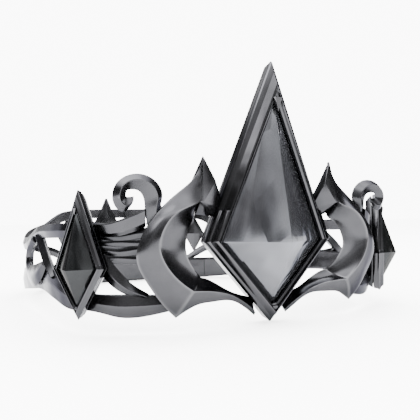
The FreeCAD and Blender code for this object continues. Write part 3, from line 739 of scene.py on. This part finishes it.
# Four strands lie one above another like combed hair and sway a little. They gather towards the side.
strands = {"count": 4, "thickness": 2.6, "height": 3.9, "pitch": 3.05, "base": 27.2, "first": 1.35,
           "gatherAbove": 2, "crowding": 0.1, "taper": 0.07, "sway": 0.3, "stagger": 0.25}
strandEnd = crescentAngle(crescentShape["strandLap"])
strandLap = offsetToPlane(strandEnd, frontPlane + crescentShape["tuck"])
for number in range(strands["count"]):
    base = strands["base"] + strands["first"] + number * strands["pitch"]
    sway = strands["sway"] if number % 2 else -strands["sway"]
    narrow = 1 - strands["crowding"] * number / strands["count"]
    aboveGather = (base - strands["base"] - strands["gatherAbove"]) * narrow
    gathered = strands["base"] + strands["gatherAbove"] + aboveGather
    stations = []
    for share, lift, offset in [(0, 0.2, strandLap), (0.25, sway - 0.3, 0.5 * strandLap + 1.2),
                                (0.5, -sway - 0.6, 2.6), (0.75, sway - 0.3, 3.4), (1, 0, bulge)]:
        height = base * (1 - share) + gathered * share + lift
        half = (1 - strands["taper"] * share) * strands["height"] / 2
        stations.append((strandEnd + share * (sideAngle - strandEnd), height - half, height + half,
                         offset + strands["stagger"] * (number % 2)))
    node = "strand_%d" % (number + 1)
    strandRows = bandRows(stations, strands["thickness"], 0.8)
    placedBoth(drawnBar(node, strandRows, levels=3, soft=0.2, rounded=(2,)), darkMetal, node)

# The stem's broad face overhangs a little, over a narrow face that is tucked under.
stemEnd = crescentAngle(crescentShape["stemLap"])
stemLap = offsetToPlane(stemEnd, frontPlane - scrollShape["plane"])
stemSpan = sideAngle - stemEnd
stemStations = [(stemEnd, 40.0, 47.0, stemLap), (stemEnd + 0.2 * stemSpan, 38.0, 44.8, stemLap),
                (stemEnd + 0.5 * stemSpan, 36.4, 42.2, 0.5 * stemLap + 2.4),
                (stemEnd + 0.75 * stemSpan, 37.0, 41.8, 4.8), (sideAngle - 2, 38.4, 42.4, bulge + 2.2)]
stemRows = []
for angle, low, high, offset in stemStations:
    tall = high - low
    stemRows.append([ringPoint(angle, offset - 1.1, low + 0.1 * tall), ringPoint(angle, offset - 0.4, low),
                     ringPoint(angle, offset + 0.7, low + 0.24 * tall),
                     ringPoint(angle, offset + 1.1, high - 0.1 * tall), ringPoint(angle, offset - 1.1, high)])
placedBoth(drawnBar("scroll_stem", stemRows, levels=3, soft=0.2), darkMetal, "scroll_stem")
print("bands and strands done")


# Struts: each station is angle, height, half its width and how far out.

def strutRows(stations, thickness):
    rows = []
    for i, (angle, height, half, offset) in enumerate(stations):
        before, after = stations[max(i - 1, 0)], stations[min(i + 1, len(stations) - 1)]
        middle = ringPoint(angle, offset, height)
        out = ringOutward(angle)
        sideways = Vector((-out.y, out.x, 0))
        way = ringPoint(after[0], 0, after[1]) - ringPoint(before[0], 0, before[1])
        run = sideways * way.dot(sideways) + Vector((0, 0, way.z))
        across = run.cross(out).normalized() * half
        depth = out * thickness / 2
        rows.append([middle - across, middle - depth, middle + across, middle + depth])
    return rows


struts = {
    "side_scroll": {"thickness": 4.6, "rounded": (3,), "stations": [
        (84.0, 34.2, 2.2, 0.9), (90.6, 29.4, 2.7, 1.4), (92.4, 23.0, 3.3, 1.8), (87.6, 18.2, 4.4, 2.2),
        (79.6, 17.6, 5.0, 2.5), (72.0, 20.2, 4.2, 2.4), (66.6, 24.4, 1.8, 2.0)]},
    "side_leaf": {"thickness": 4.4, "rounded": (), "stations": [
        (78.0, 36.2, 1.8, 0.1), (72.4, 31.6, 2.9, 0.6), (66.2, 25.6, 2.9, 1.4), (60.0, 19.4, 1.5, 2.0)]},
    "s_brace": {"thickness": 3.0, "rounded": (), "stations": [
        (42.9, 29.4, 2.7, 3.7), (41.6, 24.6, 3.3, 3.5), (39.4, 20.2, 3.2, 3.3), (36.6, 16.6, 2.4, 3.0),
        (32.8, 13.9, 1.2, 2.6)]},
    "short_brace": {"thickness": 2.4, "rounded": (), "stations": [
        (34.8, 28.6, 1.3, 2.4), (33.6, 24.6, 1.4, 2.8), (32.2, 20.2, 1.4, 3.2), (30.2, 14.0, 1.3, 2.6)]},
    "back_brace": {"thickness": 2.9, "rounded": (), "stations": [
        (157.0, 11.6, 1.6, 0), (152.0, 15.2, 2.2, 0), (146.0, 20.9, 2.6, 0), (138.0, 24.8, 2.6, 0),
        (128.0, 27.8, 2.2, 0), (119.0, 30.6, 1.5, 0)]},
}
for node, strut in struts.items():
    rows = strutRows(strut["stations"], strut["thickness"])
    placedBoth(drawnBar(node, rows, levels=3, soft=0.2, rounded=strut["rounded"]), darkMetal, node)
print("struts done")


# Points at the back: a spike on the upper band's inner face and a diamond under the band.

spike = {"angle": 167.5, "half": 9.0, "low": 38.6, "high": 57.7, "inside": 0.4, "outside": 1.2, "fold": 3.4,
         "foldFade": 2.5, "lean": 0.5, "taper": 1.1}
diamond = {"angle": 150.5, "half": 7.4, "low": 18.0, "high": 45.2, "depth": 2.8, "girdleShare": 0.55,
           "point": 0.02}


def backSpike(point):
    angle, low, high = point["angle"], point["low"], point["high"]
    turn = math.degrees(point["half"] / ringReach(angle))
    face = -bands["thickness"] / 2
    rings = []
    for share, height in [(0, low), (0.5, (low + high) / 2 - 0.6), (0.93, high - 1.0)]:
        near = face - point["inside"] - point["lean"] * share
        far = face + point["outside"] - point["lean"] * share
        fold = face - point["fold"] + point["foldFade"] * share
        wide = turn * (1 - share) ** point["taper"]
        rings.append([ringPoint(angle - wide, near, height), ringPoint(angle, fold, height),
                      ringPoint(angle + wide, near, height), ringPoint(angle + wide, far, height),
                      ringPoint(angle - wide, far, height)])
    return ringedPiece("back_spike", rings, soft=0.25)


def backDiamond(point):
    angle, low, high, depth = point["angle"], point["low"], point["high"], point["depth"]
    tip, girdle = point["point"], point["girdleShare"]
    turn = math.degrees(point["half"] / ringReach(angle))
    waist = (low + high) / 2
    rings = []
    for share, out in [(tip, depth), (0.5, girdle * depth), (1, 0), (0.5, -girdle * depth), (tip, -depth)]:
        rings.append([ringPoint(angle, out, waist - share * (waist - low)),
                      ringPoint(angle + share * turn, out, waist),
                      ringPoint(angle, out, waist + share * (high - waist)),
                      ringPoint(angle - share * turn, out, waist)])
    return ringedPiece("back_diamond", rings, soft=0.2)


placedBoth(backSpike(spike), darkMetal, "back_spike")
placedBoth(backDiamond(diamond), darkMetal, "back_diamond")
print("back points done")

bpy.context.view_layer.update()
